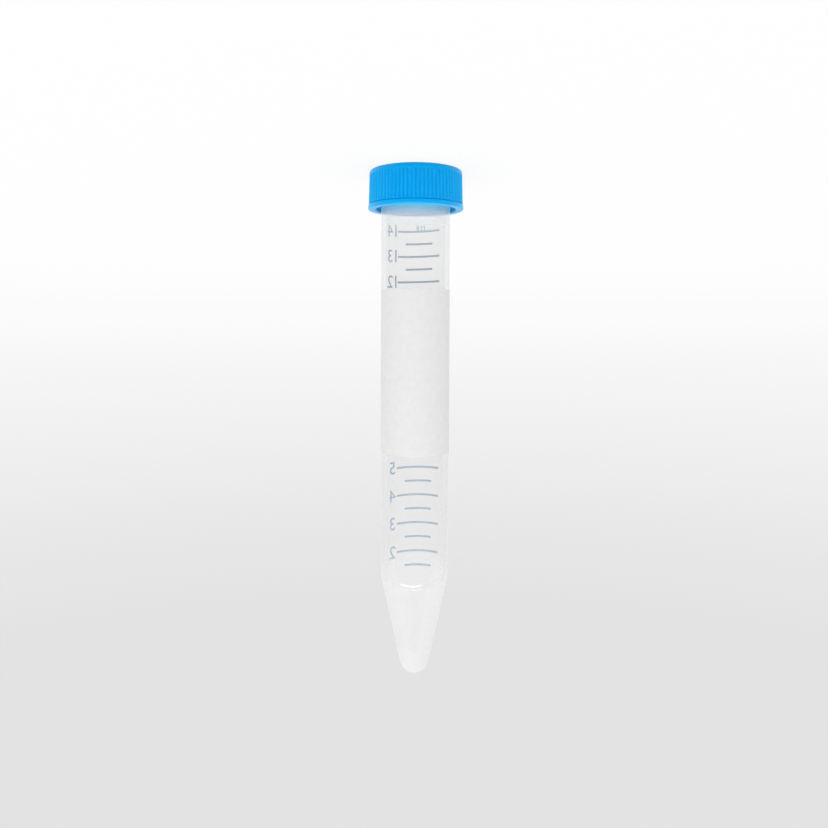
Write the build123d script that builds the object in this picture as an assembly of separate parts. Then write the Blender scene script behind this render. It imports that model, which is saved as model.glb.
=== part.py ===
from build123d import *
from math import asin, atan, atan2, cos, degrees, hypot, pi, sin, sqrt, tan
import os

# A 15 ml conical tube with a screw cap, in millimetres.
# Every piece is drawn standing on the tip: the tube's axis is Z, the tip's lowest point is z = 0,
# the writing patch faces -Y and the scale is printed on the far wall, facing +Y.
# stand_on_cap() then turns the whole part over: a round tube rolls on its side, but stands on its flat cap.

# --- Tube: one clear moulding, a barrel over a narrow cone with a ball-shaped tip ---
tube_length = 118.6          # tip to rim
barrel_radius = 8.18         # outside, on the straight stretch
foot_radius = 7.98           # outside, at the shoulder: the barrel's foot is drafted
shoulder_height = 23.5       # tip to the corner between the cone and the barrel
straight_foot = 55.0         # tip to where the drafted stretch ends and the straight one starts
tip_radius = 3.5             # ball that closes the cone, outside
foot_wall = 1.33             # barrel wall at the shoulder
rim_wall = 0.96              # from the barrel's outside to the bore at the rim
cone_wall = 1.0              # wall of the cone and of the tip
shoulder_rounding = 6.0
inner_rounding = 4.0
neck_inset = 0.25            # how far the neck, under the cap, is turned in from the barrel
neck_cover = 0.5             # how far inside the skirt the neck starts
rim_chamfer = 0.25

# --- Screw cap: one moulding, a ribbed skirt with a plug seal under its roof ---
cap_height = 9.2             # lower edge of the skirt to the flat top
roof_thickness = 1.3
seat_gap = 0.1               # rim of the tube to the underside of the roof
thread_room = 1.2            # between the barrel's radius and the skirt, where the threads sit
skirt_wall = 1.45            # skirt at the root of the ribs
rib_depth = 0.35
rib_count = 74
rib_draft = 0.15             # how much the ribs lean in from foot to top
groove_share = 0.62          # share of the pitch that a groove takes at its mouth
root_share = 0.2             # share of the pitch that a groove takes at its root
flange_height = 1.0          # smooth band below the ribs
flange_lip = 0.15            # how far that band stands proud of the ribs
flange_chamfer = 0.2
relief_height = 0.25         # turned-in line between the band and the ribs
crown_height = 1.1           # smooth band above the ribs
crown_rounding = 0.6
mouth_chamfer = 0.3          # at the skirt's lower inner edge
plug_clearance = 0.15        # plug seal to the tube's bore
plug_wall = 0.8
plug_depth = 3.0

# --- Print: ink on the outside of the tube ---
print_thickness = 0.06
mark_width = 0.45            # height of one graduation line
long_mark_span = 78.0        # degrees round the tube, at each whole millilitre
short_mark_span = 48.0       # degrees, at each half
scale_turn = 6.5             # degrees that the scale sits off the middle of the far wall, towards +X
first_mark = 1.5             # millilitres
last_mark = 14.0
mark_step = 0.5
patch_foot = 55.4            # tip to the patch's lower edge
patch_height = 36.4
patch_span = 160.0           # degrees

# --- What follows from them ---
cone_rise = shoulder_height - tip_radius
cone_angle = atan2(foot_radius, cone_rise) - asin(tip_radius / hypot(foot_radius, cone_rise))
outer_slope = (barrel_radius - foot_radius) / (straight_foot - shoulder_height)
bore_foot = foot_radius - foot_wall
bore_rim = barrel_radius - rim_wall
bore_slope = (bore_rim - bore_foot) / (tube_length - shoulder_height)
bore_ball = tip_radius - cone_wall
underside = tube_length + seat_gap
cap_top = underside + roof_thickness
cap_foot = cap_top - cap_height
neck_foot = cap_foot + neck_cover
skirt_bore = barrel_radius + thread_room
root_radius = skirt_bore + skirt_wall
rib_radius = root_radius + rib_depth
flange_radius = rib_radius + flange_lip
flange_top = cap_foot + flange_height
rib_foot = flange_top + relief_height
crown_foot = cap_top - crown_height
flange_edge = min(flange_chamfer, 0.45 * flange_height)


def section_of(*points):
    """Flat face in the XZ plane through (radius, height) points."""
    return make_face(Polyline(*[(r, 0, z) for r, z in points], close=True))


def cone_radius(ball, height):
    """Radius at this height of the cone that touches a ball of this radius at the tip's centre."""
    return (ball + (height - tip_radius) * sin(cone_angle)) / cos(cone_angle)


def corner_of(ball, foot, slope):
    """Radius and height where the cone round that ball meets the drafted barrel line."""
    gap = foot - slope * shoulder_height - cone_radius(ball, 0)
    height = gap / (tan(cone_angle) - slope)
    return cone_radius(ball, height), height


def shoulder_arc(ball, foot, slope, rounding):
    """Centre of the arc that rounds the shoulder, and its three points from cone to barrel."""
    cone_normal = Vector(cos(cone_angle), -sin(cone_angle))
    wall_normal = Vector(cos(atan(slope)), -sin(atan(slope)))
    both = cone_normal + wall_normal
    corner = Vector(*corner_of(ball, foot, slope))
    centre = corner - both * (rounding / (1 + cone_normal.dot(wall_normal)))
    points = [centre + way.normalized() * rounding for way in (cone_normal, both, wall_normal)]
    return centre, [(p.X, 0, p.Y) for p in points]


def vessel(ball, foot, slope, rounding, knee, top):
    """Half section of a solid: ball tip, cone, rounded shoulder, a barrel drafted up to the knee
    and straight from there to the top."""
    low, middle, high = shoulder_arc(ball, foot, slope, rounding)[1]
    half = (pi / 2 - cone_angle) / 2
    bottom = (0, 0, tip_radius - ball)
    bend = (ball * sin(half), 0, tip_radius - ball * cos(half))
    touch = (ball * cos(cone_angle), 0, tip_radius - ball * sin(cone_angle))
    radius = foot + slope * (knee - shoulder_height)
    return make_face([
        ThreePointArc(bottom, bend, touch),
        Line(touch, low),
        ThreePointArc(low, middle, high),
        Polyline(high, (radius, 0, knee), (radius, 0, top), (0, 0, top), bottom),
    ])


def outside(skin):
    """Half section of the tube's outside, grown by a skin of ink."""
    foot = foot_radius + skin * sqrt(1 + outer_slope**2)
    rounding = shoulder_rounding + skin
    return vessel(tip_radius + skin, foot, outer_slope, rounding, straight_foot, tube_length)


def make_tube():
    """The outside less the bore and the neck's inset, turned about Z, with a chamfered rim."""
    over = tube_length + rim_wall
    bore = vessel(bore_ball, bore_foot, bore_slope, inner_rounding, tube_length, over)
    neck_radius = barrel_radius - neck_inset
    reach = 2 * barrel_radius
    inset = section_of((neck_radius, neck_foot), (reach, neck_foot), (reach, over), (neck_radius, over))
    wall = (outside(0) - bore - inset).face()
    rim = [v for v in wall.vertices() if abs(v.Z - tube_length) < 1e-6]
    cut = min(rim_chamfer, 0.45 * (rim_wall - neck_inset))
    return revolve(wall.chamfer_2d(cut, cut, rim), Axis.Z)


def make_cap():
    """Roof, crown, skirt, flange and plug seal turned in one section, then the rib grooves."""
    plug_foot = underside - plug_depth
    plug_radius = bore_rim - bore_slope * (tube_length - plug_foot) - plug_clearance
    lead = plug_wall / 2
    crown_radius = rib_radius - rib_draft
    section = section_of(
        (0, cap_top),
        (crown_radius, cap_top),
        (crown_radius, crown_foot),
        (rib_radius, rib_foot),
        (root_radius, rib_foot),
        (root_radius, flange_top),
        (flange_radius - flange_edge, flange_top),
        (flange_radius, flange_top - flange_edge),
        (flange_radius, cap_foot + flange_edge),
        (flange_radius - flange_edge, cap_foot),
        (skirt_bore + mouth_chamfer, cap_foot),
        (skirt_bore, cap_foot + mouth_chamfer),
        (skirt_bore, underside),
        (plug_radius, underside),
        (plug_radius, plug_foot + lead),
        (plug_radius - lead, plug_foot),
        (plug_radius - plug_wall, plug_foot),
        (plug_radius - plug_wall, underside),
        (0, underside),
    )
    crown = [v for v in section.vertices() if v.Z > cap_top - 1e-6 and v.X > 1e-6]
    section = section.face().fillet_2d(min(crown_rounding, 0.9 * crown_height), crown)
    return revolve(section, Axis.Z) - rib_grooves()


def rib_grooves():
    """The gaps between the ribs: one slot that leans with the ribs, repeated round the skirt."""
    pitch = 2 * pi * rib_radius / rib_count
    rise = crown_foot - rib_foot
    lean = Vector(-rib_draft, 0, rise)
    foot = Plane(origin=(root_radius, 0, rib_foot), x_dir=(rise, 0, rib_draft), z_dir=lean)
    reach = 2 * rib_depth
    root_half = root_share * pitch / 2
    mouth_half = root_half + (groove_share - root_share) * pitch / 2 * reach / rib_depth
    corners = [(0, -root_half), (reach, -mouth_half), (reach, mouth_half), (0, root_half)]
    slot = make_face(Polyline(*corners, close=True))
    cutter = extrude(foot * slot, lean.length, dir=lean)
    return [Rot(0, 0, i * 360 / rib_count) * cutter for i in range(rib_count)]


def frustum(low, high, rise):
    """Volume between two radii."""
    return pi / 3 * rise * (low * low + low * high + high * high)


def volume_below(height):
    """What the bore holds up to this height, in cubic millimetres, with its ball tip."""
    touch = tip_radius - bore_ball * sin(cone_angle)
    depth = touch - cone_wall
    corner_radius, corner_height = corner_of(bore_ball, bore_foot, bore_slope)
    held = pi * depth**2 * (3 * bore_ball - depth) / 3
    low = bore_ball * cos(cone_angle)
    if height <= corner_height:
        return held + frustum(low, cone_radius(bore_ball, height), height - touch)
    held += frustum(low, corner_radius, corner_height - touch)
    top = corner_radius + bore_slope * (height - corner_height)
    return held + frustum(corner_radius, top, height - corner_height)


def fill_height(millilitres):
    """Height that this much liquid reaches, found by halving the bore's length again and again."""
    low, high = tip_radius, tube_length
    for _ in range(50):
        middle = (low + high) / 2
        if volume_below(middle) < millilitres * 1000:
            low = middle
        else:
            high = middle
    return (low + high) / 2


def ink(foot, height, span, turn):
    """A band of ink on the outside wall: foot and height along the tube, span and turn about it."""
    reach = 2 * barrel_radius
    window = section_of((0, foot), (reach, foot), (reach, foot + height), (0, foot + height))
    band = (outside(print_thickness) - outside(0)) & window
    return Rot(0, 0, turn - span / 2) * revolve(band, Axis.Z, revolution_arc=span)


def mark_list():
    """Volume and height of each line of the scale, as far as the barrel reaches below the neck."""
    count = round((last_mark - first_mark) / mark_step) + 1
    marks = [(v, fill_height(v)) for v in [first_mark + i * mark_step for i in range(count)]]
    return [(v, h) for v, h in marks if h + mark_width < neck_foot]


def make_marks():
    """The scale's lines on the far wall: long at whole millilitres, short at halves."""
    marks = []
    for volume, height in mark_list():
        whole = abs(volume - round(volume)) < 1e-6
        span = long_mark_span if whole else short_mark_span
        marks.append(ink(height - mark_width / 2, mark_width, span, 90 - scale_turn))
    return Compound(marks)


def make_patch():
    """The writing patch on the near wall."""
    return ink(patch_foot, patch_height, patch_span, -90)


def stand_on_cap():
    """Place of the part when it stands upside down on the cap's flat top, patch still facing -Y."""
    return Pos(0, 0, cap_top) * Rot(0, 180, 0)


def main():
    """Makes the pieces, turns them over and writes one file for each."""
    pieces = {
        "tube": make_tube(),
        "screw_cap": make_cap(),
        "writing_patch": make_patch(),
        "graduation_marks": make_marks(),
    }
    stood = stand_on_cap()
    os.makedirs("parts", exist_ok=True)
    for name, shape in pieces.items():
        export_step(stood * shape, f"parts/{name}.step")
        print(name, "volume", round(shape.volume, 1))
    print("cone half angle", round(degrees(cone_angle), 2))
    print("scale", [(v, round(h, 1)) for v, h in mark_list()])
    return stood


stood = main()
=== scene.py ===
# %% [markdown]
# # A 15 ml conical tube, dressed for its portrait
# The tube is one clear polypropylene moulding: a barrel over a narrow cone that ends in a ball.
# A ribbed polyethylene cap screws onto it, and the scale and a writing patch are printed outside.
# A capped tube is stood upside down, on the flat top of its cap, because on its side it rolls.
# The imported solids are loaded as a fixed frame, in metres. Each finished piece is worked out here
# as a surface in that same frame, so nothing has to be fitted by hand.

import math
import bmesh
import bpy
import numpy as np
from mathutils import Matrix, Vector


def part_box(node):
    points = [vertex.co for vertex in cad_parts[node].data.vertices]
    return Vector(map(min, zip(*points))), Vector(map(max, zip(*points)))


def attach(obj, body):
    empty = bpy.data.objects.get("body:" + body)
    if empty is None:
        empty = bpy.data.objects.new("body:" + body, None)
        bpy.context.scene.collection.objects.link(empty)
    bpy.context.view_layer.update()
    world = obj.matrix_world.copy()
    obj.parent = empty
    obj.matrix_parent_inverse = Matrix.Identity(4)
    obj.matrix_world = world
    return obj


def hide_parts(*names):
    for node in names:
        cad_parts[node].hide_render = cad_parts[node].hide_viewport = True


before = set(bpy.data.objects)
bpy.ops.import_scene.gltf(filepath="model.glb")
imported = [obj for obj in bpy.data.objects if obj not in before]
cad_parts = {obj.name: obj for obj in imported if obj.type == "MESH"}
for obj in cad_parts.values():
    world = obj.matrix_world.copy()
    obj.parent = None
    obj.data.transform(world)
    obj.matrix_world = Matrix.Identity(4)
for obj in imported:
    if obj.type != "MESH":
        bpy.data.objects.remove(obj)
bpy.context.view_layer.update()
tube_low, tube_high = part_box("tube")
_, cap_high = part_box("screw_cap")
patch_low, patch_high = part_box("writing_patch")
MM = 0.001
TIP = tube_high.z

# %% [markdown]
# ## A grid becomes a skin
# Every piece here is turned or wrapped about one axis, so two numbers place a point on it: how far
# along the section, and what angle round the axis. Spin or Screw could do the turning, but arrays
# let the radius change with the angle as well, which is what ribs and threads need.
# Angle 0 is the middle of the far wall, where the scale is printed, and it grows towards -X.

# %% Helpers that place points and skin grids
def about_axis(radius, angle, height):
    """Point at this radius, angle and height: x = -r sin(a), y = r cos(a), z as it is."""
    return np.stack([-radius * np.sin(angle), radius * np.cos(angle), height + 0 * angle], -1)


def mesh_from(name, points, quads, triangles=()):
    """A smooth-shaded mesh from arrays of points, quads and triangles."""
    faces = [row.tolist() for row in (np.asarray(quads), np.asarray(triangles)) if len(row)]
    mesh = bpy.data.meshes.new(name)
    mesh.from_pydata(points.tolist(), [], [face for rows in faces for face in rows])
    mesh.polygons.foreach_set("use_smooth", np.ones(len(mesh.polygons), bool))
    mesh.update()
    return mesh


def volume_of(mesh):
    """Signed volume: each face's fan of tetrahedra from the origin, positive if faces point out."""
    mesh.calc_loop_triangles()
    corners = np.zeros(len(mesh.loop_triangles) * 3, np.int32)
    mesh.loop_triangles.foreach_get("vertices", corners)
    places = np.zeros(len(mesh.vertices) * 3)
    mesh.vertices.foreach_get("co", places)
    a, b, c = places.reshape(-1, 3)[corners.reshape(-1, 3)].transpose(1, 0, 2)
    return float(np.einsum("ij,ij->i", a, np.cross(b, c)).sum() / 6)


def turned(name, radius, height, columns, swell=None):
    """A section turned about Z. Row i of the grid is the ring at radius[i] and height[i], and the
    first and last rows are single points on the axis. swell(angle, radius, height) is added to the
    radius. Quads join ring i to ring i + 1, and a fan closes each pole."""
    angle = np.linspace(0, 2 * np.pi, columns, endpoint=False)[None, :]
    r = radius[1:-1, None] + 0 * angle
    z = height[1:-1, None] + 0 * angle
    if swell is not None:
        r = r + swell(angle, r, z)
    rings = about_axis(r, angle, z)
    rows = len(rings)
    poles = np.array([[0, 0, height[0]], [0, 0, height[-1]]])
    points = np.concatenate([rings.reshape(-1, 3), poles])
    index = np.arange(rows * columns).reshape(rows, columns)
    beside = np.roll(index, -1, 1)
    quads = np.stack([index[:-1], beside[:-1], beside[1:], index[1:]], -1).reshape(-1, 4)
    first = np.stack([np.full(columns, rows * columns), beside[0], index[0]], -1)
    last = np.stack([np.full(columns, rows * columns + 1), index[-1], beside[-1]], -1)
    mesh = mesh_from(name, points, quads, np.concatenate([first, last]))
    if volume_of(mesh) < 0:
        mesh.flip_normals()
    print(name, "rings", rows, "columns", columns, "mm3", round(volume_of(mesh) / MM**3, 1))
    return mesh


def piece(name, mesh, body, replaced):
    """An object for a finished mesh, riding on a body in place of a plain solid."""
    item = bpy.data.objects.new(name, mesh)
    bpy.context.scene.collection.objects.link(item)
    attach(item, body)
    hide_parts(replaced)
    return item


def run(start, end, count):
    """Evenly spaced values from start up to, and without, end."""
    return np.linspace(start, end, count, endpoint=False)


def joined(*stretches):
    """Radius and height arrays of one section, from stretches of (radius, height)."""
    radii = np.concatenate([np.broadcast_to(r, np.broadcast(r, z).shape) for r, z in stretches])
    heights = np.concatenate([np.broadcast_to(z, np.broadcast(r, z).shape) for r, z in stretches])
    return radii, heights


# %% [markdown]
# ## The tube's section
# A mould's core and cavity give the tube its two skins. Each is a ball at the tip, a cone that
# touches the ball, an arc that rounds the shoulder, a barrel that opens slightly with draft, and a
# neck. A bevel could round the corners of a plain section, but working the touching points out
# from the angle keeps the skins smooth where they meet, which shows at once in clear plastic.
# Lengths run from the tip here, and are turned over into the frame.

# %% Section of one skin, from the tip to the rim
TIP_RADIUS = 3.5 * MM
SHOULDER = 23.5 * MM
FOOT_RADIUS = 7.98 * MM
BARREL_RADIUS = 8.18 * MM
STRAIGHT_FOOT = 55.0 * MM
FOOT_WALL = 1.33 * MM
RIM_WALL = 0.96 * MM
CONE_WALL = 1.0 * MM
NECK_RADIUS = BARREL_RADIUS - 0.25 * MM
LENGTH = TIP - tube_low.z
NECK_FOOT = TIP - cap_high.z + 0.5 * MM
rise = SHOULDER - TIP_RADIUS
CONE_ANGLE = math.atan2(FOOT_RADIUS, rise) - math.asin(TIP_RADIUS / math.hypot(FOOT_RADIUS, rise))
OUTER_SLOPE = (BARREL_RADIUS - FOOT_RADIUS) / (STRAIGHT_FOOT - SHOULDER)
BORE_FOOT = FOOT_RADIUS - FOOT_WALL
BORE_SLOPE = (BARREL_RADIUS - RIM_WALL - BORE_FOOT) / (LENGTH - SHOULDER)
print("cone half angle", round(math.degrees(CONE_ANGLE), 2), "bore slope", round(BORE_SLOPE, 5))


def lower_skin(ball, foot, slope, rounding, fine):
    """Ball, cone and rounded shoulder of one skin, as (radius, height from the tip).
    The cone's radius is (ball + (h - centre) sin a) / cos a. The arc's centre lies back from the
    corner by rounding / (1 + n1.n2) along the sum of the two normals n1 and n2."""
    a = CONE_ANGLE
    turn = run(0, np.pi / 2 - a, fine)
    ball_r, ball_h = ball * np.sin(turn), TIP_RADIUS - ball * np.cos(turn)
    n1 = np.array([math.cos(a), -math.sin(a)])
    n2 = np.array([math.cos(math.atan(slope)), -math.sin(math.atan(slope))])
    gap = foot - slope * SHOULDER - (ball - TIP_RADIUS * math.sin(a)) / math.cos(a)
    corner_h = gap / (math.tan(a) - slope)
    corner = np.array([foot + slope * (corner_h - SHOULDER), corner_h])
    centre = corner - (n1 + n2) * rounding / (1 + n1 @ n2)
    touch = np.array([ball * math.cos(a), TIP_RADIUS - ball * math.sin(a)])
    low = centre + n1 * rounding
    share = run(0, 1, fine)[:, None]
    cone = touch + (low - touch) * share
    blend = (1 - share) * n1 + share * n2
    arc = centre + rounding * blend / np.linalg.norm(blend, axis=1, keepdims=True)
    return joined((ball_r, ball_h), (cone[:, 0], cone[:, 1]), (arc[:, 0], arc[:, 1]))


def outside_radius(height, skin=0.0):
    """Radius of the barrel's outside: drafted up to the straight foot, and straight above it."""
    return FOOT_RADIUS + OUTER_SLOPE * (np.minimum(height, STRAIGHT_FOOT) - SHOULDER) + skin


# %% [markdown]
# ## The neck's thread
# The cap turns onto a rounded single-start thread on the neck. It could be a curve swept along a
# helix, but a swell of the neck's own skin leaves no seam: the radius grows wherever the height is
# near the helix. The ridge runs in and out smoothly at its ends, as a moulded thread does.

# %% Thread as a swell of the skin
THREAD_START = NECK_FOOT + 1.0 * MM
THREAD_PITCH = 2.7 * MM
THREAD_TURNS = 1.6
LEAD_IN = 0.1
RUN_OUT = 0.12


def thread(angle, height, start, crest, width):
    """Height of a helical ridge: crest times cos^2 of a quarter turn times the distance from the
    helix over its width, times a ramp at both ends. The helix starts at that height and climbs
    one pitch a turn. The ridge's lead-in and its ramps are shares of a turn."""
    total = np.zeros(np.broadcast(angle, height).shape)
    for lap in range(3):
        turns = angle / (2 * np.pi) + lap
        away = np.abs(height - start - turns * THREAD_PITCH) / width
        ridge = np.where(away < 1, np.cos(away * np.pi / 2) ** 2, 0)
        left = np.minimum(turns - LEAD_IN, THREAD_TURNS + LEAD_IN - turns)
        total = np.maximum(total, ridge * np.clip(left / RUN_OUT, 0, 1))
    return crest * total


print("thread rises by", round(THREAD_TURNS * THREAD_PITCH / MM, 2), "mm")

# %% Tube surface
COLUMNS = 192
ARC_ROWS = 14
SHOULDER_ROUND = 6 * MM
BORE_ROUND = 4 * MM
NECK_RIDGE = 0.78 * MM
NECK_RIDGE_WIDTH = 0.75 * MM


def tube_mesh():
    """Outer skin from the tip to the rim, then the bore back down to the tip's inside. Points of
    the outer skin carry 1 in the attribute outside_skin and the bore's carry 0, for the finish."""
    low_r, low_h = lower_skin(TIP_RADIUS, FOOT_RADIUS, OUTER_SLOPE, SHOULDER_ROUND, ARC_ROWS)
    in_r, in_h = lower_skin(TIP_RADIUS - CONE_WALL, BORE_FOOT, BORE_SLOPE, BORE_ROUND, ARC_ROWS)
    barrel = run(low_h[-1] + 0.4 * MM, NECK_FOOT - 0.12 * MM, 22)
    neck = run(NECK_FOOT + 0.12 * MM, LENGTH - 0.25 * MM, 60)
    bore = run(LENGTH - 0.3 * MM, in_h[-1] + 0.4 * MM, 24)
    rim = BARREL_RADIUS - RIM_WALL
    step_r = np.array([BARREL_RADIUS, BARREL_RADIUS - 0.06 * MM, NECK_RADIUS + 0.05 * MM])
    step_h = NECK_FOOT + np.array([-0.1, -0.02, 0.04]) * MM
    lip_r = np.array([NECK_RADIUS, NECK_RADIUS - 0.08 * MM, NECK_RADIUS - 0.25 * MM,
                      rim + 0.25 * MM, rim + 0.08 * MM])
    lip_h = LENGTH - np.array([0.25, 0.07, 0, 0, 0.07]) * MM
    radius, height = joined(
        (low_r, low_h),
        (outside_radius(barrel), barrel),
        (step_r, step_h),
        (NECK_RADIUS, neck),
        (lip_r, lip_h),
        (BORE_FOOT + BORE_SLOPE * (bore - SHOULDER), bore),
        (in_r[::-1], in_h[::-1]),
    )

    def swell(angle, r, z):
        """The thread, only on the neck's outside and a little way above its step."""
        on_neck = (r > 7.6 * MM) & (TIP - z > NECK_FOOT + 0.3 * MM)
        return on_neck * thread(angle, TIP - z, THREAD_START, NECK_RIDGE, NECK_RIDGE_WIDTH)

    mesh = turned("clear_tube", radius, TIP - height, COLUMNS, swell)
    on_outside = np.arange(1, len(height) - 1) <= np.argmax(height)
    outside = np.append(np.repeat(on_outside, COLUMNS), [True, False])
    layer = mesh.attributes.new("outside_skin", "FLOAT", "POINT")
    layer.data.foreach_set("value", outside.astype(np.float32))
    return mesh


tube = piece("clear_tube", tube_mesh(), "tube", "tube")

# %% [markdown]
# ## The cap
# One moulding again: a flat roof, a rounded crown, a skirt with fine finger ribs that lean in a
# little, a turned-in line, and a smooth band at the mouth. Seventy-four ribs could be an array of
# blocks, but the mould's grooves have round bottoms, so the radius follows a wave round the skirt,
# ten columns to a rib. Inside are the thread that grips the neck and the plug seal that enters it.

# %% Cap sizes, read from the frame where they can be
CAP_FOOT = cap_high.z
RIB_COUNT = 74
RIB_RADIUS = 11.18 * MM
RIB_DEPTH = 0.24 * MM
RIB_LEAN = 0.15 * MM
FLANGE_RADIUS = cap_high.x
SKIRT_BORE = 9.38 * MM
ROOF = 1.3 * MM
CROWN_FOOT = 1.1 * MM
RIB_FOOT = 7.95 * MM
FLANGE_FOOT = CAP_FOOT - 1.0 * MM
PLUG_RADIUS = 7.052 * MM
PLUG_WALL = 0.8 * MM
CROWN_ROUND = 0.6 * MM
RIB_COLUMNS = 10
GRIP_START = THREAD_START + THREAD_PITCH / 2
GRIP_RIDGE = 0.5 * MM
GRIP_RIDGE_WIDTH = 0.7 * MM


def rib_wave(angle):
    """0 on a rib's rounded back and 1 in a groove's round bottom: cos^2 of half the rib's phase."""
    return np.cos(angle * RIB_COUNT / 2) ** 2


def smooth_step(value):
    """3 t^2 - 2 t^3 of a value held between 0 and 1."""
    t = np.clip(value, 0, 1)
    return t * t * (3 - 2 * t)


print("a rib every", round(2 * math.pi * RIB_RADIUS / RIB_COUNT / MM, 3), "mm")

# %% Cap surface
def cap_mesh():
    """Section from the middle of the flat top, out over crown, ribs, line and band, back inside
    the skirt, over the plug seal and to the axis. Heights are the frame's: the flat top is at
    z = 0. Ribs go in by RIB_DEPTH times their wave, and the inner thread grows inwards."""
    crown = RIB_RADIUS - RIB_LEAN
    bend = run(0, np.pi / 2, 10)
    crown_r = crown - CROWN_ROUND + CROWN_ROUND * np.sin(bend)
    crown_h = CROWN_ROUND - CROWN_ROUND * np.cos(bend)
    skirt = np.linspace(CROWN_FOOT, RIB_FOOT, 30)
    lean = crown + RIB_LEAN * (skirt - CROWN_FOOT) / (RIB_FOOT - CROWN_FOOT)
    line_r = np.array([10.98, 10.86, 10.83, 10.86, 10.98]) * MM
    line_h = RIB_FOOT + np.array([0.03, 0.07, 0.13, 0.19, 0.23]) * MM
    band_r = FLANGE_RADIUS - np.array([0.2, 0.08, 0.015, 0, 0, 0.02, 0.08, 0.2]) * MM
    band_h = FLANGE_FOOT + np.array([0, 0.03, 0.12, 0.3, 0.55, 0.8, 0.9, 0.97]) * MM
    mouth_r = np.array([FLANGE_RADIUS - 0.4 * MM, 9.95 * MM, 9.68 * MM, 9.5 * MM, SKIRT_BORE])
    mouth_h = CAP_FOOT - np.array([0, 0, 0.03, 0.12, 0.28]) * MM
    bore = np.linspace(CAP_FOOT - 0.3 * MM, ROOF + 0.25 * MM, 36)
    roof_r = np.array([9.3, 9.1, 8.2, 7.3, 7.1]) * MM
    roof_h = ROOF + np.array([0.07, 0, 0, 0, 0.07]) * MM
    lip_r = PLUG_RADIUS - np.array([0.07, 0.22, 0.4, 0.6, 0.75, 0.8]) * MM
    lip_h = ROOF + np.array([2.75, 2.93, 3.0, 3.0, 2.95, 2.8]) * MM
    middle_r = np.array([6.15, 5.9, 3, 0]) * MM
    middle_h = ROOF + np.array([0.06, 0, 0, 0]) * MM
    radius, height = joined(
        (np.array([0, 3, 7, 9.6]) * MM, 0),
        (crown_r, crown_h),
        (crown, np.array([0.6, 0.85, 1.0]) * MM),
        (lean, skirt),
        (line_r, line_h),
        (band_r, band_h),
        (mouth_r, mouth_h),
        (SKIRT_BORE, bore),
        (roof_r, roof_h),
        (PLUG_RADIUS, ROOF + np.linspace(0.2, 2.5, 8) * MM),
        (lip_r, lip_h),
        (PLUG_RADIUS - PLUG_WALL, ROOF + np.linspace(2.5, 0.3, 6) * MM),
        (middle_r, middle_h),
    )

    def swell(angle, r, z):
        """Grooves outside, from a soft start under the crown to the line, and the thread inside."""
        outer = r > 10.9 * MM
        starts = smooth_step((z - CROWN_FOOT) / (0.35 * MM))
        ends = smooth_step((RIB_FOOT - z) / (0.02 * MM) + 1)
        on_skirt = outer * (z < RIB_FOOT + 0.01 * MM)
        ribs = -RIB_DEPTH * rib_wave(angle) * (starts * ends) * on_skirt
        in_bore = (np.abs(r - SKIRT_BORE) < 0.01 * MM) & (z < CAP_FOOT - 0.5 * MM)
        grip = thread(angle, TIP - z, GRIP_START, GRIP_RIDGE, GRIP_RIDGE_WIDTH)
        return ribs - in_bore * grip

    return turned("ribbed_cap", radius, height, RIB_COUNT * RIB_COLUMNS, swell)


cap = piece("ribbed_cap", cap_mesh(), "cap", "screw_cap")

# %% [markdown]
# ## Print on the outside
# The scale and the patch are screen-printed ink, a few hundredths of a millimetre thick. A decal
# would be flat and would fight with the wall, so each print is a closed skin: an inner face a hair
# above the plastic, an outer face, and four edges.

# %% A wrapped band of ink
INK = 0.06 * MM
HAIR = 0.003 * MM


def band_arrays(foot, height, span, turn, columns, rows, skew=0.0):
    """Points and quads of a wrapped band. Two grids of (rows, columns) lie at the outside radius
    plus a hair and plus the ink's thickness. Edge quads join them round the border. Heights grow
    by skew times the arc from the band's middle, as on a print set slightly askew."""
    a = turn + np.linspace(-span / 2, span / 2, columns)[None, :]
    h = np.linspace(foot, foot + height, rows)[:, None] + skew * BARREL_RADIUS * (a - turn)
    inner = about_axis(outside_radius(h, HAIR) + 0 * a, a, TIP - h + 0 * a)
    outer = about_axis(outside_radius(h, INK) + 0 * a, a, TIP - h + 0 * a)
    count = rows * columns
    index = np.arange(count).reshape(rows, columns)
    flat = [index[:-1, :-1], index[:-1, 1:], index[1:, 1:], index[1:, :-1]]
    under = np.stack(flat, -1).reshape(-1, 4)
    over = np.stack(flat[::-1], -1).reshape(-1, 4) + count
    border = np.concatenate([index[0, :-1], index[:-1, -1], index[-1, :0:-1], index[:0:-1, 0]])
    onward = np.roll(border, -1)
    edge = np.stack([onward, border, border + count, onward + count], -1)
    points = np.concatenate([inner.reshape(-1, 3), outer.reshape(-1, 3)])
    return points, np.concatenate([under, over, edge])


def bands_mesh(name, bands):
    """One mesh from several wrapped bands, faces pointing out."""
    points, quads, start = [], [], 0
    for band in bands:
        band_points, band_quads = band_arrays(*band)
        points.append(band_points)
        quads.append(band_quads + start)
        start += len(band_points)
    mesh = mesh_from(name, np.concatenate(points), np.concatenate(quads))
    if volume_of(mesh) < 0:
        mesh.flip_normals()
    mesh.polygons.foreach_set("use_smooth", np.zeros(len(mesh.polygons), bool))
    print(name, "bands", len(bands), "mm3", round(volume_of(mesh) / MM**3, 2))
    return mesh


# %% [markdown]
# ## The writing patch
# A white field for a pencil or marker on the near wall, most of half the way round. A decal image
# could stand in for it, but ink has an edge that catches light. It keeps the solid's place, goes
# on by a hem towards the tip so that it covers the line behind it, and has enough columns to stay
# round.

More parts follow.
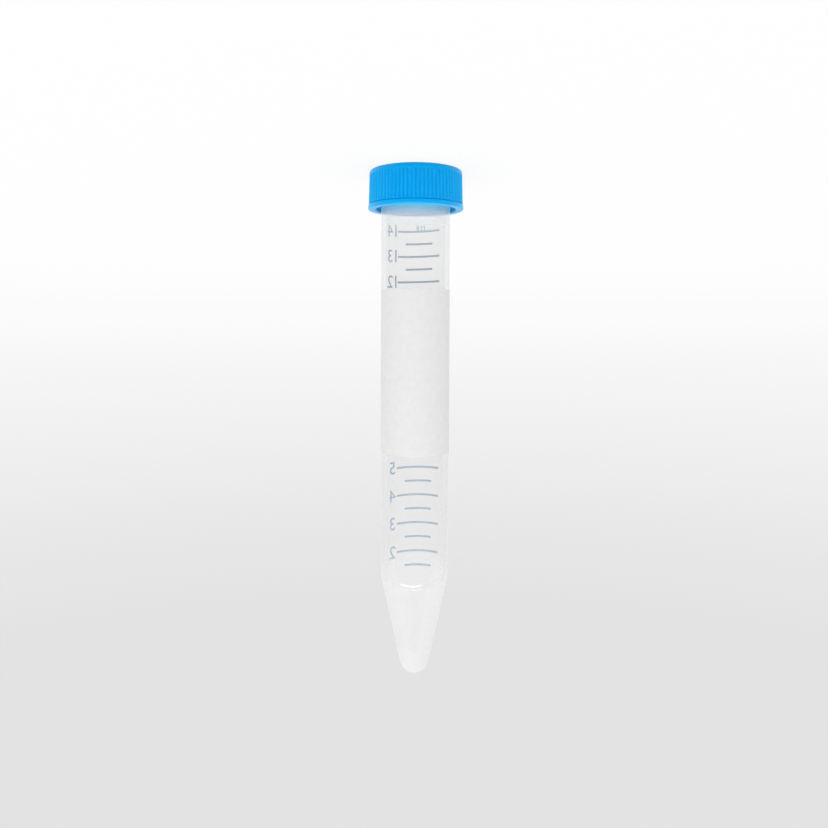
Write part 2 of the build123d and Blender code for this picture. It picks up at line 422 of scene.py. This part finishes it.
# %% Writing patch
HEM = 2.1 * MM
PATCH_SPAN = math.radians(160)
PATCH_COLUMNS, PATCH_ROWS = 96, 40
patch_foot = TIP - patch_high.z - HEM
patch_height = patch_high.z - patch_low.z + HEM
field = (patch_foot, patch_height, PATCH_SPAN, math.pi, PATCH_COLUMNS, PATCH_ROWS)
patch = piece(
    "writing_patch_ink", bands_mesh("writing_patch_ink", [field]), "tube", "writing_patch",
)

# %% [markdown]
# ## The scale
# Each line sits where the bore below it holds that many millilitres, so the spacing grows towards
# the tip. Long lines mark whole millilitres and short ones halves. The figures stand left of the
# lines as read from the printed side, and only plain numbers and the unit are drawn. The whole
# print is set a little askew, as the screen and the tube never meet quite square.

# %% Heights of the scale's lines, from the tip
def bore_volume(height):
    """What the bore holds up to this height: a ball's cap, then slices of the cone and the barrel
    added up as pi r^2 dh."""
    ball = TIP_RADIUS - CONE_WALL
    levels = np.linspace(CONE_WALL, height, 4001)
    in_ball = np.sqrt(np.clip(ball**2 - (TIP_RADIUS - levels) ** 2, 0, None))
    on_cone = (ball + (levels - TIP_RADIUS) * math.sin(CONE_ANGLE)) / math.cos(CONE_ANGLE)
    touch = TIP_RADIUS - ball * math.sin(CONE_ANGLE)
    radius = np.where(levels < touch, in_ball, on_cone)
    radius = np.minimum(radius, BORE_FOOT + BORE_SLOPE * (levels - SHOULDER))
    middles = (radius[1:] ** 2 + radius[:-1] ** 2) / 2
    return float(np.pi * middles.sum() * (levels[1] - levels[0]))


VOLUMES = np.arange(1.5, 14.25, 0.5)
levels = np.linspace(15 * MM, 112 * MM, 195)
held = np.array([bore_volume(level) for level in levels])
HEIGHTS = dict(zip(VOLUMES.tolist(), np.interp(VOLUMES * 1e-6, held, levels).tolist()))
print("line heights, mm:", {v: round(h / MM, 1) for v, h in HEIGHTS.items()})

# %% Lines and figures as one print
LINE = 0.50 * MM
LONG_SPAN = math.radians(78)
SHORT_SPAN = math.radians(48)
SCALE_TURN = math.radians(6.5)
FIGURE_TURN = math.radians(-43)
UNIT_TURN = math.radians(9)
FIGURE_HEIGHT = 3.2 * MM
UNIT_HEIGHT = 1.9 * MM
FIGURE_SHARE = 0.72
FIGURE_SPACING = 0.85
SLICE = 0.5 * MM
SKEW = math.tan(math.radians(1.6))


def lettering(text, size):
    """Flat figures as a mesh, cut into slices half a millimetre wide so that they can bend. A
    figure stands for FIGURE_SHARE of its font's size."""
    curve = bpy.data.curves.new(text, "FONT")
    curve.body = text
    curve.size = size / FIGURE_SHARE
    curve.align_x = "CENTER"
    curve.align_y = "CENTER"
    curve.space_character = FIGURE_SPACING
    curve.extrude = (INK - HAIR) / 2
    curve.resolution_u = 3
    holder = bpy.data.objects.new(text, curve)
    bpy.context.scene.collection.objects.link(holder)
    bpy.context.view_layer.update()
    finished = holder.evaluated_get(bpy.context.evaluated_depsgraph_get())
    mesh = bpy.data.meshes.new_from_object(finished)
    bpy.data.objects.remove(holder)
    work = bmesh.new()
    work.from_mesh(mesh)
    bmesh.ops.remove_doubles(work, verts=work.verts, dist=1e-7)
    for cut in np.arange(-4 * MM, 4.01 * MM, SLICE):
        geometry = work.verts[:] + work.edges[:] + work.faces[:]
        bmesh.ops.bisect_plane(work, geom=geometry, plane_co=(cut, 0, 0), plane_no=(1, 0, 0))
    bmesh.ops.triangulate(work, faces=work.faces[:])
    work.to_mesh(mesh)
    work.free()
    return mesh


def wrapped(mesh, height, turn):
    """Flat lettering bent round the wall: angle = turn - x / r, y is added to the height from the
    tip, and radius = r + z. Read from the printed side it runs left to right with the tip down,
    and it shares the scale's skew."""
    flat = np.zeros(len(mesh.vertices) * 3)
    mesh.vertices.foreach_get("co", flat)
    x, y, z = flat.reshape(-1, 3).T
    radius = outside_radius(height + y, (INK + HAIR) / 2)
    angle = turn - x / radius
    level = height + y + SKEW * BARREL_RADIUS * (angle - SCALE_TURN)
    placed = about_axis(radius + z, angle, TIP - level)
    mesh.vertices.foreach_set("co", placed.ravel())
    mesh.update()
    return mesh


def scale_mesh():
    """Lines, figures and the unit, joined into one mesh."""
    bands = []
    for volume, height in HEIGHTS.items():
        span = LONG_SPAN if volume == round(volume) else SHORT_SPAN
        bands.append((height - LINE / 2, LINE, span, SCALE_TURN, 41, 2, SKEW))
    work = bmesh.new()
    work.from_mesh(bands_mesh("scale_lines", bands))
    for volume, height in HEIGHTS.items():
        if volume == round(volume):
            work.from_mesh(wrapped(lettering(f"{volume:.0f}", FIGURE_HEIGHT), height, FIGURE_TURN))
    above_last = HEIGHTS[14.0] + 1.0 * MM
    work.from_mesh(wrapped(lettering("ml", UNIT_HEIGHT), above_last, UNIT_TURN))
    mesh = bpy.data.meshes.new("scale_print")
    work.to_mesh(mesh)
    work.free()
    print("scale print", len(mesh.polygons), "faces, mm3", round(volume_of(mesh) / MM**3, 2))
    return mesh


scale = piece("scale_print", scale_mesh(), "tube", "graduation_marks")

# %% [markdown]
# ## Finishes
# Moulded plastic is never one flat tone: it clouds a little where it flowed, and its skin has a
# fine grain from the steel. An image could hold that, but noise has no seam and no resolution.
# Both mouldings need it, so it is one node group with its own values in each material. The shader
# itself stays in the material, where the exporter can read it.
# Node trees soon grow long, so a few small helpers come first.

# %% Node helpers
def fresh(material_name):
    """A new material with its node tree, and its Principled shader."""
    material = bpy.data.materials.new(material_name)
    material.use_nodes = True
    return material, material.node_tree, material.node_tree.nodes["Principled BSDF"]


def fill_in(node, values):
    """Sets a node's input sockets from a table of socket and value."""
    for socket, value in values.items():
        node.inputs[socket].default_value = value


def add(tree, kind, inputs=None, **properties):
    """A node of this kind. Properties are set by name, then input sockets from a table."""
    node = tree.nodes.new(kind)
    for name, value in properties.items():
        setattr(node, name, value)
    fill_in(node, inputs or {})
    return node


def wire(tree, *links):
    """Links sockets, each link being (from node, its output, to node, its input)."""
    for source, output, target, entry in links:
        tree.links.new(source.outputs[output], target.inputs[entry])


def calc(tree, operation, *values):
    """A Math node. Each value is a number, or (node, output) to be linked to its entry."""
    node = add(tree, "ShaderNodeMath", operation=operation)
    for entry, value in enumerate(values):
        if isinstance(value, tuple):
            wire(tree, (*value, node, entry))
        else:
            fill_in(node, {entry: value})
    return node


def fade(tree, start, end, low=0.0, high=1.0, curve="LINEAR"):
    """A node that goes from low to high while its Value goes from start to end."""
    ends = {"From Min": start, "From Max": end, "To Min": low, "To Max": high}
    return add(tree, "ShaderNodeMapRange", ends, interpolation_type=curve)


def ramp(tree, stops):
    """A colour ramp with stops at (place, tone), a tone being a grey or three numbers."""
    node = add(tree, "ShaderNodeValToRGB")
    elements = node.color_ramp.elements
    while len(elements) < len(stops):
        elements.new(0.5)
    for element, (spot, tone) in zip(elements, stops):
        element.position = spot
        element.color = (*np.broadcast_to(tone, 3).tolist(), 1)
    return node


# %% Node groups for effects, and how they are placed
FLOAT, COLOUR = "NodeSocketFloat", "NodeSocketColor"


def effect_group(name, inputs, outputs):
    """An empty group with named sockets. inputs are (name, kind, value), outputs (name, kind)."""
    group = bpy.data.node_groups.new(name, "ShaderNodeTree")
    for label, kind, value in inputs:
        socket = group.interface.new_socket(label, in_out="INPUT", socket_type=kind)
        socket.default_value = value
    for label, kind in outputs:
        group.interface.new_socket(label, in_out="OUTPUT", socket_type=kind)
    return group, group.nodes.new("NodeGroupInput"), group.nodes.new("NodeGroupOutput")


def effect_in(tree, shader, group, bump, values):
    """Places an effect with these values, its height turned into a bump of this depth."""
    node = add(tree, "ShaderNodeGroup", values, node_tree=group)
    dent = add(tree, "ShaderNodeBump", {"Strength": 1.0, "Distance": bump})
    wire(tree, (node, "Height", dent, "Height"), (dent, "Normal", shader, "Normal"))
    return node


# %% Moulded plastic, an effect for both mouldings
moulded, given, made = effect_group(
    "moulded_plastic",
    [("Colour", COLOUR, (1, 1, 1, 1)), ("Cloud", FLOAT, 0.03), ("Cloud size", FLOAT, 300.0),
     ("Grain size", FLOAT, 9000.0), ("Gloss", FLOAT, 0.3), ("Gloss spread", FLOAT, 0.08)],
    [("Colour", COLOUR), ("Roughness", FLOAT), ("Height", FLOAT)],
)
where = add(moulded, "ShaderNodeTexCoord")
cloud = add(moulded, "ShaderNodeTexNoise", {"Detail": 3.0, "Roughness": 0.55})
grain = add(moulded, "ShaderNodeTexNoise", {"Detail": 2.0})
level = calc(moulded, "SUBTRACT", (cloud, "Fac"), 0.5)
lift = calc(moulded, "MULTIPLY_ADD", (level, 0), (given, "Cloud"), 1.0)
gloss = calc(moulded, "MULTIPLY_ADD", (level, 0), (given, "Gloss spread"), (given, "Gloss"))
tint = add(moulded, "ShaderNodeVectorMath", operation="SCALE")
wire(
    moulded,
    (where, "Object", cloud, "Vector"), (given, "Cloud size", cloud, "Scale"),
    (where, "Object", grain, "Vector"), (given, "Grain size", grain, "Scale"),
    (given, "Colour", tint, 0), (lift, 0, tint, "Scale"),
    (tint, "Vector", made, "Colour"), (gloss, 0, made, "Roughness"),
    (grain, "Fac", made, "Height"),
)
print("effect", moulded.name, "has", len(moulded.nodes), "nodes")

# %% [markdown]
# ## Clear polypropylene
# The wall is milky rather than glassy: most light goes through, and some scatters in it. A glass
# shader would bend the light as well, but thin walls bend it very little, and it would double
# every line of the scale. So each skin is a partly transparent white, a veil whose cover and tone
# change along the tube. The tone is partly the plastic's own and partly painted light: it is
# whiter over the cone and tip, where the wall grows thick and where more light falls, it carries
# painted shade on the upper barrel, and it is lifted near the neck as painted light against the
# cap's shadow.
# The outer skin closes up where it is seen edge on, more so on the cone's flanks, and all through
# the tip, where the plastic is solid. Shadow and diffuse rays pass the wall, so that the prints
# and the cap behind it are lit as in open air.

# %% Clear wall: tone with painted light, and veil, by height from the cap's flat top (0) to the tip (1)
# Warm whites at 0.075 and 0.1 are painted light against the cap's shadow; 0.69 is painted shade.
MILK_AND_PAINTED_LIGHT = [
    # The whiter cone and tip are partly thicker plastic and partly painted light.
    (0.075, (0.97, 0.94, 0.90)), (0.1, (0.95, 0.86, 0.79)), (0.13, (0.71, 0.68, 0.65)),
    (0.25, 0.69), (0.55, 0.75), (0.75, 0.80), (0.79, 0.885), (0.9, 0.875), (0.945, 0.84),
    (1.0, 0.85),
]
VEIL = [
    (0.066, 0.06), (0.078, 0.15), (0.088, 0.32), (0.096, 0.30), (0.114, 0.16), (0.79, 0.16),
    (0.83, 0.09), (1.0, 0.09),
]
clear, tree, shader = fresh("clear_polypropylene")
body = effect_in(tree, shader, moulded, 0.0003 * MM, {
    "Cloud": 0.03, "Cloud size": 160.0, "Grain size": 2500.0, "Gloss": 0.14, "Gloss spread": 0.06,
})
place = add(tree, "ShaderNodeTexCoord")
split = add(tree, "ShaderNodeSeparateXYZ")
along = fade(tree, 0.0, TIP)
milk_and_painted_light = ramp(tree, MILK_AND_PAINTED_LIGHT)
veil = ramp(tree, VEIL)
wire(
    tree,
    (place, "Object", split, 0), (split, "Z", along, "Value"), (along, 0, milk_and_painted_light, "Fac"),
    (along, 0, veil, "Fac"), (milk_and_painted_light, "Color", body, "Colour"),
    (body, "Colour", shader, "Base Color"), (body, "Roughness", shader, "Roughness"),
)
fill_in(shader, {"IOR": 1.49, "Sheen Weight": 0.9, "Sheen Roughness": 0.3})
tube.data.materials.append(clear)
print(clear.name, "has a veil of", [cover for _, cover in VEIL])

# %% Clear wall: where it closes up, and which rays pass it
EDGE_COVER = 0.6
FLANK_COVER = 0.38
TIP_COVER = 0.36
solid_tip = fade(tree, TIP - 8.2 * MM, TIP - 5.4 * MM, 0.0, TIP_COVER, "SMOOTHSTEP")
on_cone = fade(tree, TIP - 26.5 * MM, TIP - 21.5 * MM, curve="SMOOTHSTEP")
flank = fade(tree, 0.02, 0.15, 0.0, FLANK_COVER, "SMOOTHSTEP")
edge_on = add(tree, "ShaderNodeLayerWeight", {"Blend": 0.25})
outside = add(tree, "ShaderNodeAttribute", attribute_name="outside_skin")
path = add(tree, "ShaderNodeLightPath")
wire(
    tree,
    (split, "Z", solid_tip, "Value"), (split, "Z", on_cone, "Value"),
    (edge_on, "Facing", flank, "Value"),
)
turning = calc(tree, "POWER", (edge_on, "Facing"), 2.0)
closing = calc(tree, "MULTIPLY_ADD", (turning, 0), EDGE_COVER, (solid_tip, 0))
closed = calc(tree, "MULTIPLY_ADD", (flank, 0), (on_cone, 0), (closing, 0))
cover = calc(tree, "MULTIPLY_ADD", (closed, 0), (outside, "Fac"), (veil, "Color"))
lighting = calc(tree, "MAXIMUM", (path, "Is Shadow Ray"), (path, "Is Diffuse Ray"))
seen = calc(tree, "MULTIPLY_ADD", (lighting, 0), -1.0, 1.0)
shown = calc(tree, "MULTIPLY", (cover, 0), (seen, 0))
wire(tree, (shown, 0, shader, "Alpha"))
print(clear.name, "closes up by", EDGE_COVER, "edge on and", TIP_COVER, "in the tip")

# %% [markdown]
# ## Azure polyethylene
# The cap is coloured through. It has the soft shine of polyethylene, a broad dull highlight in its
# own blue, and light soaks into it, which subsurface scattering gives.
# Light soaks through the skirt too, so the hollow round the neck glows cyan. Scattering alone
# doesn't reach so deep, and a lamp in there would shine on the tube as well. So the walls of the
# hollow carry painted shade, a darker base, and a painted glow, an emission of their own, both
# found by radius and height.

# %% Cap plastic
SOAK = 1.8 * MM
azure, tree, shader = fresh("azure_polyethylene")
body = effect_in(tree, shader, moulded, 0.006 * MM, {
    "Colour": (0.003, 0.415, 0.825, 1), "Cloud": 0.04, "Cloud size": 260.0,
    "Grain size": 5200.0, "Gloss": 0.3, "Gloss spread": 0.1,
})
wire(tree, (body, "Roughness", shader, "Roughness"))
# Emission Strength 1 serves the painted glow set up in the hollow below.
fill_in(shader, {
    "IOR": 1.5, "Specular Tint": (0.05, 0.45, 1.0, 1), "Subsurface Weight": 0.8,
    "Subsurface Radius": (0.25, 0.8, 1.0), "Subsurface Scale": SOAK,
    "Emission Strength": 1.0,
})
cap.data.materials.append(azure)
print(azure.name, "scatters light over", round(SOAK / MM, 1), "mm")

# %% Painted shade and painted glow in the cap's hollow
# Painted glow, emitted where no lamp is, then the painted shade that darkens the hollow's base.
PAINTED_GLOW = (0.0, 0.40, 0.54)
PAINTED_SHADE = (0.4, 0.35, 0.42)
place = add(tree, "ShaderNodeTexCoord")
split = add(tree, "ShaderNodeSeparateXYZ")
flat = add(tree, "ShaderNodeVectorMath", {1: (1, 1, 0)}, operation="MULTIPLY")
radius = add(tree, "ShaderNodeVectorMath", operation="LENGTH")
within = fade(tree, 9.75 * MM, 9.6 * MM)
past_roof = fade(tree, 1.0 * MM, 1.25 * MM)
short_of_mouth = fade(tree, 9.0 * MM, 6.4 * MM)
wire(
    tree,
    (place, "Object", flat, 0), (flat, "Vector", radius, 0), (radius, "Value", within, "Value"),
    (place, "Object", split, 0), (split, "Z", past_roof, "Value"),
    (split, "Z", short_of_mouth, "Value"),
)
# Masks: painted shade over the whole inside, painted glow fading out towards the mouth.
painted_shade_mask = calc(tree, "MULTIPLY", (within, 0), (past_roof, 0))
depth = calc(tree, "MULTIPLY", (past_roof, 0), (short_of_mouth, 0))
hollow = calc(tree, "MULTIPLY", (depth, 0), (within, 0))
painted_glow = add(tree, "ShaderNodeVectorMath", {0: PAINTED_GLOW}, operation="SCALE")
painted_shade = add(tree, "ShaderNodeVectorMath", {1: PAINTED_SHADE}, operation="MULTIPLY")
base = add(tree, "ShaderNodeMix", data_type="RGBA")
wire(
    tree,
    (body, "Colour", painted_shade, 0), (body, "Colour", base, "A"), (painted_shade, "Vector", base, "B"),
    (painted_shade_mask, 0, base, "Factor"), (base, "Result", shader, "Base Color"),
    (hollow, 0, painted_glow, "Scale"), (painted_glow, "Vector", shader, "Emission Color"),
)
print(azure.name, "glows in its hollow with", PAINTED_GLOW)

# %% [markdown]
# ## Screen-printed inks
# Ink is pressed through a mesh, so its cover drifts from place to place and the mesh leaves a fine
# grain. A painted image would do, but noise needs none. Both inks share the effect. The patch is
# matt and toothy, to take pencil. The scale's blue is smoother, and its cover fades to the neck.

# %% Printed cover, an effect for both inks
printed, given, made = effect_group(
    "printed_ink",
    [("Colour", COLOUR, (1, 1, 1, 1)), ("Cover", FLOAT, 0.95), ("Cover spread", FLOAT, 0.1),
     ("Screen size", FLOAT, 3000.0)],
    [("Colour", COLOUR), ("Cover", FLOAT), ("Height", FLOAT)],
)
where = add(printed, "ShaderNodeTexCoord")
screen = add(printed, "ShaderNodeTexNoise", {"Detail": 3.0, "Roughness": 0.6})
drift = add(printed, "ShaderNodeTexNoise", {"Scale": 700.0, "Detail": 1.0})
middle = calc(printed, "SUBTRACT", (drift, "Fac"), 0.5)
cover = calc(printed, "MULTIPLY_ADD", (middle, 0), (given, "Cover spread"), (given, "Cover"))
shade = calc(printed, "MULTIPLY_ADD", (middle, 0), 0.04, 1.0)
toned = add(printed, "ShaderNodeVectorMath", operation="SCALE")
wire(
    printed,
    (where, "Object", screen, "Vector"), (given, "Screen size", screen, "Scale"),
    (where, "Object", drift, "Vector"),
    (given, "Colour", toned, 0), (shade, 0, toned, "Scale"),
    (toned, "Vector", made, "Colour"), (cover, 0, made, "Cover"),
    (screen, "Fac", made, "Height"),
)
print("effect", printed.name, "has", len(printed.nodes), "nodes")


# %% Inks
def ink(name, bump, roughness, values):
    """A material for a printed ink, and its effect, with these values in it."""
    material, tree, shader = fresh(name)
    node = effect_in(tree, shader, printed, bump, values)
    wire(tree, (node, "Colour", shader, "Base Color"), (node, "Cover", shader, "Alpha"))
    fill_in(shader, {"Roughness": roughness})
    return material, node


patch_white, _ = ink("patch_white", 0.006 * MM, 0.7, {
    "Colour": (0.845, 0.845, 0.84, 1), "Cover": 0.88, "Cover spread": 0.04, "Screen size": 2600.0,
})
scale_blue, node = ink("scale_blue", 0.004 * MM, 0.4, {
    "Colour": (0.002, 0.175, 0.37, 1), "Cover spread": 0.12, "Screen size": 4200.0,
})
patch.data.materials.append(patch_white)
scale.data.materials.append(scale_blue)
tree = scale_blue.node_tree
place = add(tree, "ShaderNodeTexCoord")
split = add(tree, "ShaderNodeSeparateXYZ")
fading_to_neck = fade(tree, 12 * MM, 28 * MM, 0.5, 0.97)
wire(
    tree,
    (place, "Object", split, 0), (split, "Z", fading_to_neck, "Value"), (fading_to_neck, 0, node, "Cover"),
)
print("inks", patch_white.name, "and", scale_blue.name)

# %% [markdown]
# ## Stage and light
# The part stands on a white floor that fades into a pale grey sweep. More lamps on a white card
# could make such a background, but they would wash out the part. So camera, mirror and see-through
# rays find a tone of its own for each height above the horizon, while the light that falls on the
# part is even, and colours come out as written. The floor is bright in the same way, and keeps a
# share of the shadow.

# %% Which rays see the background
def eye_rays(tree):
    """1 for camera, mirror and see-through rays, and 0 for the rays that carry light."""
    path = add(tree, "ShaderNodeLightPath")
    direct = calc(tree, "MAXIMUM", (path, "Is Camera Ray"), (path, "Is Glossy Ray"))
    return calc(tree, "MAXIMUM", (direct, 0), (path, "Is Transmission Ray"))


# %% Floor
FLOOR_REACH = 3.0
FLOOR_DROP = 0.02 * MM
SHADOW_SHARE = 0.18
FAR_TONE = 0.968
corners = [(x * FLOOR_REACH, y * FLOOR_REACH, -FLOOR_DROP)
           for x, y in ((-1, -1), (1, -1), (1, 1), (-1, 1))]
floor_mesh = bpy.data.meshes.new("floor")
floor_mesh.from_pydata(corners, [], [(0, 1, 2, 3)])
floor = bpy.data.objects.new("floor", floor_mesh)
bpy.context.scene.collection.objects.link(floor)
paper, tree, shader = fresh("white_paper")
tree.nodes.remove(shader)
out = tree.nodes["Material Output"]
place = add(tree, "ShaderNodeTexCoord")
away = add(tree, "ShaderNodeVectorMath", operation="LENGTH")
far = fade(tree, 0.25, 1.5, 1.0, FAR_TONE)
diffuse = add(tree, "ShaderNodeBsdfDiffuse", {"Color": (0.8, 0.8, 0.8, 1)})
bright = add(tree, "ShaderNodeEmission", {"Strength": 1.03})
share = calc(tree, "MULTIPLY", (eye_rays(tree), 0), 1 - SHADOW_SHARE)
mix = add(tree, "ShaderNodeMixShader")
wire(
    tree,
    (place, "Object", away, 0), (away, "Value", far, "Value"), (far, 0, bright, "Color"),
    (share, 0, mix, 0), (diffuse, 0, mix, 1), (bright, 0, mix, 2), (mix, 0, out, "Surface"),
)
floor.data.materials.append(paper)
print("floor reaches", FLOOR_REACH, "m each way")

# %% Sweep and even light
LOWEST, HIGHEST = -0.1, 0.5
SWEEP = [
    (-0.1, 0.97), (0.0, 0.962), (0.046, 0.93), (0.115, 0.888), (0.17, 0.863), (0.249, 0.815),
    (0.322, 0.784), (0.36, 0.768), (0.48, 0.768),
]
world = bpy.data.worlds.new("studio")
bpy.context.scene.world = world
world.use_nodes = True
tree = world.node_tree
tree.nodes.clear()
out = add(tree, "ShaderNodeOutputWorld")
place = add(tree, "ShaderNodeTexCoord")
split = add(tree, "ShaderNodeSeparateXYZ")
upward = fade(tree, LOWEST, HIGHEST)
sweep = ramp(tree, [((high - LOWEST) / (HIGHEST - LOWEST), grey) for high, grey in SWEEP])
backdrop = add(tree, "ShaderNodeBackground")
even = add(tree, "ShaderNodeBackground", {"Color": (1, 1, 1, 1), "Strength": 1.0})
mix = add(tree, "ShaderNodeMixShader")
wire(
    tree,
    (place, "Generated", split, 0), (split, "Z", upward, "Value"), (upward, 0, sweep, "Fac"),
    (sweep, "Color", backdrop, "Color"), (eye_rays(tree), 0, mix, 0), (even, 0, mix, 1),
    (backdrop, 0, mix, 2), (mix, 0, out, "Surface"),
)
print("sweep tones", [grey for _, grey in SWEEP])

# %% [markdown]
# ## Two lamps
# Clear plastic shows itself by its glints. A long narrow lamp, high in front of the part, draws
# one bright line on the shoulder, and it lights no diffuse surface, so that the inks don't pale.
# A weak square lamp fills the front, and isn't mirrored, since a second glint would show its shape.

# %% Lamps
def area_lamp(name, width, depth, power, spot, target):
    """A rectangular lamp at this spot, turned to face the target and hidden from the camera."""
    data = bpy.data.lights.new(name, "AREA")
    data.shape = "RECTANGLE"
    data.size, data.size_y, data.energy = width, depth, power
    lamp = bpy.data.objects.new(name, data)
    bpy.context.scene.collection.objects.link(lamp)
    lamp.location = spot
    lamp.rotation_euler = (Vector(target) - lamp.location).to_track_quat("-Z", "Y").to_euler()
    lamp.visible_camera = False
    print(name, "turned", [round(math.degrees(turn), 1) for turn in lamp.rotation_euler])
    return lamp


GLINT_TARGET = (0, -0.007, TIP - 21.3 * MM)
strip = area_lamp("strip_light", 0.8, 0.05, 7.0, (0.105, -0.5, 0.433), GLINT_TARGET)
strip.visible_diffuse = False
fill = area_lamp("soft_fill", 0.5, 0.5, 0.5, (0.15, -0.5, 0.15), (0, 0, TIP / 2))
fill.visible_glossy = False

# %% [markdown]
# ## Camera
# The tube is always pictured tip down, so the camera is rolled half a turn: its up is the frame's
# -Z and its right is -X. It stands near, level with the upper barrel, and looks almost square at
# the axis. It could be tilted to take in the whole length, but then the barrel's sides would lean
# together, so the lens is shifted a little instead.

# %% Camera
DISTANCE = 171.6 * MM
SIDEWAYS = 0.30 * MM
LEVEL = TIP - 84.8 * MM
PITCH = math.radians(1.12)
ROLL = math.radians(0.23)
LENS = 31.2
SHIFT = -0.0972
camera_data = bpy.data.cameras.new("camera")
camera_data.lens = LENS
camera_data.shift_y = SHIFT
camera_data.clip_start = 0.005
camera = bpy.data.objects.new("camera", camera_data)
bpy.context.scene.collection.objects.link(camera)
right = (-1, 0, 0)
up = (0, math.sin(PITCH), -math.cos(PITCH))
back = (0, -math.cos(PITCH), -math.sin(PITCH))
stand = Matrix.Translation((SIDEWAYS, -DISTANCE, LEVEL))
upright = Matrix((right, up, back)).transposed().to_4x4()
camera.matrix_world = stand @ upright @ Matrix.Rotation(ROLL, 4, "Z")
bpy.context.scene.camera = camera
bpy.context.scene.view_settings.view_transform = "Standard"
bpy.context.scene.cycles.transparent_max_bounces = 24
print("camera stands at, mm:", [round(c / MM, 2) for c in camera.matrix_world.translation])

# %% Hand over
bpy.context.view_layer.update()
